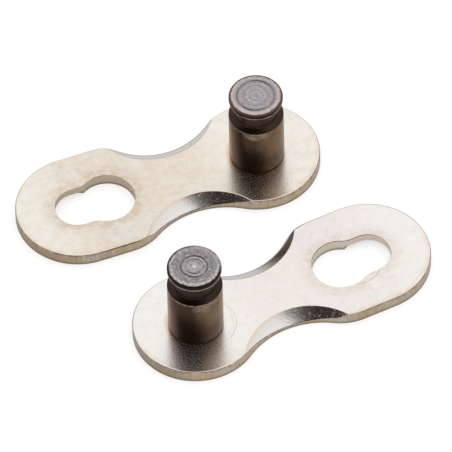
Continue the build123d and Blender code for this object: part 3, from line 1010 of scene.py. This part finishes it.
# the head's tone at its middle, and the tones that it turns to outside each radius
MIDDLE_TONE = rgb(166, 162, 164)
RING_TONES = {
    "front": ((0.16, rgb(164, 163, 162)), (0.54, rgb(136, 131, 133)), (0.66, rgb(178, 172, 173)),
              (0.8, rgb(112, 106, 111)), (0.96, rgb(146, 140, 142))),
    "rear": ((1.17, rgb(140, 133, 137)), (1.34, rgb(172, 164, 166)), (1.48, rgb(182, 165, 158))),
}
TONE_BLEND = 0.04
PIN_GRAIN, MARK_DEPTH = 0.08, 0.01
PIN_GRAIN_SHOWS, MARKS_SHOW = 0.2, 0.4
STEEL_ROUGHNESS = 0.26
STEEL_TINT = rgb(253, 245, 239)


def pin_steel(half):
    """The finish of one half's pin."""
    material, nodes, shader, place = metal(f"{half}_pin_steel")
    shader.inputs["Specular Tint"].default_value = STEEL_TINT
    x, y = nodes.split(place)[:2]
    radius = nodes.vector("DISTANCE", nodes.join(x, y), (0, 0, 0))
    rings = MIDDLE_TONE
    for inner, tone in RING_TONES[half]:
        outside = nodes.fade(radius, inner - TONE_BLEND, inner + TONE_BLEND)
        rings = nodes.tinted(outside, tone, rings)
    grain = nodes.effect(GRAIN, Place=place, Grain=PIN_GRAIN)
    side = nodes.effect(BLACKENED_AND_SHADED_SIDE, Place=place, Relief=grain["Relief"],
                        Speckle=grain["Speckle"], **SIDE_WEAR_AND_SHADING[half])
    head = nodes.effect(TURNED_HEAD, Place=place, Rings=rings, **HEAD_WEAR_AND_HIGHLIGHTS[half])
    roughness = nodes.plus(STEEL_ROUGHNESS, nodes.times(grain["Speckle"], GRAIN_ROUGHNESS))
    normal = nodes.bump(head["Marks"], MARK_DEPTH, MARKS_SHOW)
    normal = nodes.bump(grain["Relief"], GRAIN_DEPTH, PIN_GRAIN_SHOWS, Normal=normal)
    colour = nodes.tinted(head["On Face"], head["Colour"], side["Colour"])
    nodes.feed(shader.inputs["Base Color"], colour)
    nodes.feed(shader.inputs["Roughness"], roughness)
    nodes.feed(shader.inputs["Normal"], normal)
    return material


for half, head_rings in HEAD_RINGS.items():
    pin = lay_down(half, "pin", *turned(pin_flank(head_rings)), pin_steel(half))

# ---- Floor ------------------------------------------------------------------------------
# A sheet of plain pale paper that the link lies on. It takes the link's shadow, and glows a
# little, to the eye and in the mirror of the metal, so that it stays pale in soft light.
FLOOR_HALF = 1.5
PAPER_GREY = (0.42, 0.42, 0.42, 1)
GLOW_SEEN, GLOW_MIRRORED = 0.65, 0.33


def staged_material(name):
    """A material with no shader yet, its nodes, and the socket that its surface goes to."""
    material = bpy.data.materials.new(name)
    material.use_nodes = True
    tree = material.node_tree
    tree.nodes.remove(tree.nodes["Principled BSDF"])
    return material, Nodes(tree), tree.nodes["Material Output"].inputs["Surface"]


def ways_seen(nodes):
    """Masks for what the camera sees, and for what metal or glass mirrors."""
    path = nodes.add("ShaderNodeLightPath").outputs
    mirrored = nodes.reckon("MAXIMUM", path["Is Glossy Ray"], path["Is Transmission Ray"])
    return path["Is Camera Ray"], mirrored


paper, nodes, surface = staged_material("floor_paper")
seen, mirrored = ways_seen(nodes)
glow = nodes.plus(nodes.times(seen, GLOW_SEEN), nodes.times(mirrored, GLOW_MIRRORED))
diffuse = nodes.add("ShaderNodeBsdfDiffuse", Color=PAPER_GREY)
emission = nodes.add("ShaderNodeEmission", Strength=glow)
both = nodes.add("ShaderNodeAddShader", i0=diffuse.outputs[0], i1=emission.outputs[0])
nodes.feed(surface, both.outputs[0])

floor_mesh = bpy.data.meshes.new("floor")
corners = [(x * FLOOR_HALF, y * FLOOR_HALF, 0) for x, y in ((-1, -1), (1, -1), (1, 1), (-1, 1))]
floor_mesh.from_pydata(corners, [], [(0, 1, 2, 3)])
floor_mesh.materials.append(paper)
floor = bpy.data.objects.new("floor", floor_mesh)
bpy.context.scene.collection.objects.link(floor)

# ---- Camera -----------------------------------------------------------------------------
# A long lens that looks down on the opened link from its front left, over the front half, and
# is tilted a little to the side.
AIM = Vector((0.636, 0.821, 0.0)) * MM
AZIMUTH, ELEVATION, ROLL = radians(25.245), radians(51.79), radians(-1.593)
DISTANCE = 803.4 * MM
SENSOR_WIDTH, FOCAL_LENGTH = 36, 965.59
CLIP_NEAR, CLIP_FAR = 0.01, 10

level = cos(ELEVATION)
toward = Vector((-sin(AZIMUTH) * level, -cos(AZIMUTH) * level, sin(ELEVATION)))
camera = bpy.data.objects.new("camera", bpy.data.cameras.new("camera"))
bpy.context.scene.collection.objects.link(camera)
bpy.context.scene.camera = camera
camera.data.sensor_width = SENSOR_WIDTH
camera.data.lens = FOCAL_LENGTH
camera.data.clip_start, camera.data.clip_end = CLIP_NEAR, CLIP_FAR
camera.rotation_mode = "QUATERNION"
upright = (-toward).to_track_quat("-Z", "Y")
camera.rotation_quaternion = upright @ Matrix.Rotation(ROLL, 3, "Z").to_quaternion()
camera.location = AIM + toward * DISTANCE

# ---- Studio light -----------------------------------------------------------------------
# An even white studio all round, a shade weaker as a light than it looks, and one round soft
# lamp above, which gives the pins their shadows and is not mirrored in the metal.
STUDIO_LIGHT, STUDIO_SEEN = 0.8, 1.0
LAMP_WIDTH, LAMP_POWER = 0.8, 1.6
LAMP_AT = Vector((0.12, 0.1, 0.75))

world = bpy.data.worlds.new("studio")
bpy.context.scene.world = world
world.use_nodes = True
nodes = Nodes(world.node_tree)
background = world.node_tree.nodes["Background"].inputs
seen = nodes.reckon("MAXIMUM", *ways_seen(nodes))
nodes.feed(background["Strength"], nodes.fade(seen, 0.0, 1.0, STUDIO_LIGHT, STUDIO_SEEN))
nodes.feed(background["Color"], (1, 1, 1, 1))

lamp = bpy.data.lights.new("soft_lamp", "AREA")
lamp.shape, lamp.size, lamp.energy = "DISK", LAMP_WIDTH, LAMP_POWER
lamp_piece = bpy.data.objects.new("soft_lamp", lamp)
bpy.context.scene.collection.objects.link(lamp_piece)
lamp_piece.location = LAMP_AT
lamp_piece.visible_glossy = False
lamp_piece.rotation_mode = "QUATERNION"
lamp_piece.rotation_quaternion = LAMP_AT.to_track_quat("Z", "Y")

# ---- Dark card --------------------------------------------------------------------------
# A black card of the studio's, bent round the link on the camera's side and seen only in the
# metal's reflections. It darkens the near bevels, and fades out to white at its rims.
CARD_RADIUS = 0.4
CARD_RISE = (34, 80)                    # degrees up from the floor
CARD_TURN = (-95, 62)                   # degrees round the link, 0 towards the camera
CARD_RISES, CARD_TURNS = 13, 37
LOWER_FADE_TO, UPPER_FADE_TO, LEFT_FADE_TO = 41, 70, -75
RIGHT_FADE = (60, 34)                   # the right fade leans, and has these turns at LEAN_ABOUT
CARD_LEAN, LEAN_ABOUT = 2.4, 45         # radians for each metre of height, and degrees up
CHANGE_OF_TONE = (-5, 26)               # turns between which the left tone becomes the right
LEFT_TONE, RIGHT_TONE = (0.042, 0.028, 0.025, 1), (0.15, 0.142, 0.15, 1)


def card_height(rise):
    """Height of the card at this many degrees up."""
    return CARD_RADIUS * sin(radians(rise))


dark, nodes, surface = staged_material("dark_card")
x, y, height = nodes.split(nodes.add("ShaderNodeTexCoord").outputs["Object"])
turn = nodes.reckon("ARCTAN2", y, x)
leaning = nodes.plus(turn, nodes.times(nodes.minus(height, card_height(LEAN_ABOUT)), CARD_LEAN))
shade = nodes.times(
    nodes.fade(height, card_height(CARD_RISE[1]), card_height(UPPER_FADE_TO)),
    nodes.fade(height, card_height(CARD_RISE[0]), card_height(LOWER_FADE_TO)),
    nodes.fade(turn, radians(CARD_TURN[0]), radians(LEFT_FADE_TO)),
    nodes.fade(leaning, *np.radians(RIGHT_FADE)))
tone = nodes.tinted(nodes.fade(turn, *np.radians(CHANGE_OF_TONE)), RIGHT_TONE, LEFT_TONE)
tone = nodes.tinted(shade, tone, (1, 1, 1, 1))
nodes.feed(surface, nodes.add("ShaderNodeEmission", Color=tone).outputs[0])

card_mesh = bpy.data.meshes.new("dark_card")
card_points = [
    (CARD_RADIUS * cos(rise) * cos(round_link), CARD_RADIUS * cos(rise) * sin(round_link),
     CARD_RADIUS * sin(rise))
    for rise in np.radians(np.linspace(*CARD_RISE, CARD_RISES))
    for round_link in np.radians(np.linspace(*CARD_TURN, CARD_TURNS))
]
card_faces = [
    (row + k, row + k + 1, row + k + 1 + CARD_TURNS, row + k + CARD_TURNS)
    for row in range(0, (CARD_RISES - 1) * CARD_TURNS, CARD_TURNS)
    for k in range(CARD_TURNS - 1)
]
card_mesh.from_pydata(card_points, [], card_faces)
card_mesh.materials.append(dark)
card = bpy.data.objects.new("dark_card", card_mesh)
bpy.context.scene.collection.objects.link(card)
card.rotation_euler.z = atan2(toward.y, toward.x)
card.visible_camera = card.visible_diffuse = card.visible_shadow = False
card.visible_transmission = False

bpy.context.scene.view_settings.view_transform = "Standard"
